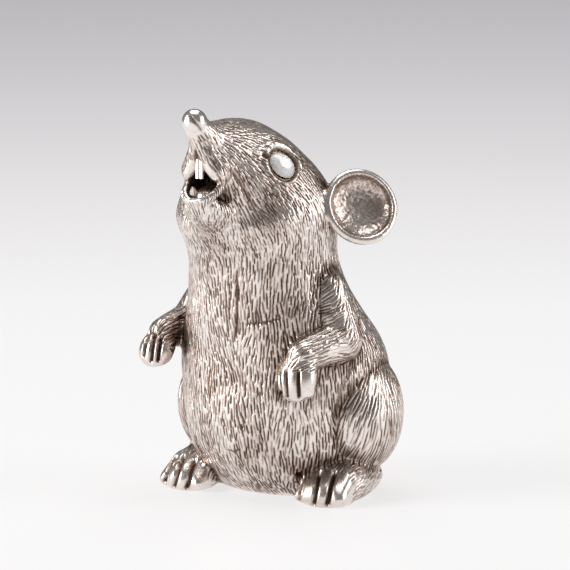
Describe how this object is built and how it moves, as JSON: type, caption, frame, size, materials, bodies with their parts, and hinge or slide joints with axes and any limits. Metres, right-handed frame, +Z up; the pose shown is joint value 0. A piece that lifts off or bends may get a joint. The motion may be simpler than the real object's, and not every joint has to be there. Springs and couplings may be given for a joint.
{
  "type": "mouse figurine",
  "caption": "Hollow cast silver mouse sitting upright with raised head, open mouth, round dished ears and clear stone eyes, resting on a flat base.",
  "frame": {"origin": "on the floor under the body, in the mouse's middle plane", "axes": "+Z up, the mouse faces -Y, and its left side is +X"},
  "size_m": [0.0454, 0.0538, 0.0709],
  "materials": {
    "fur_silver": "satin",
    "plain_silver": "satin",
    "polished_silver": "polished",
    "gilt_collet": "satin",
    "clear_stone": "gloss"
  },
  "bodies": {
    "root": {"torso_shell": "fur_silver", "head_shell": "fur_silver", "neck_sleeve": "plain_silver", "base_plate": "plain_silver", "left_ear": "plain_silver", "right_ear": "plain_silver", "left_eye_collet": "gilt_collet", "right_eye_collet": "gilt_collet", "left_eye_stone": "clear_stone", "right_eye_stone": "clear_stone", "nose_tip": "polished_silver", "incisors": "polished_silver", "tongue": "plain_silver", "left_forelimb": "fur_silver", "right_forelimb": "fur_silver", "left_haunch": "fur_silver", "right_haunch": "fur_silver", "left_hind_foot": "fur_silver", "right_hind_foot": "fur_silver", "tail": "plain_silver"}
  },
  "joints": []
}
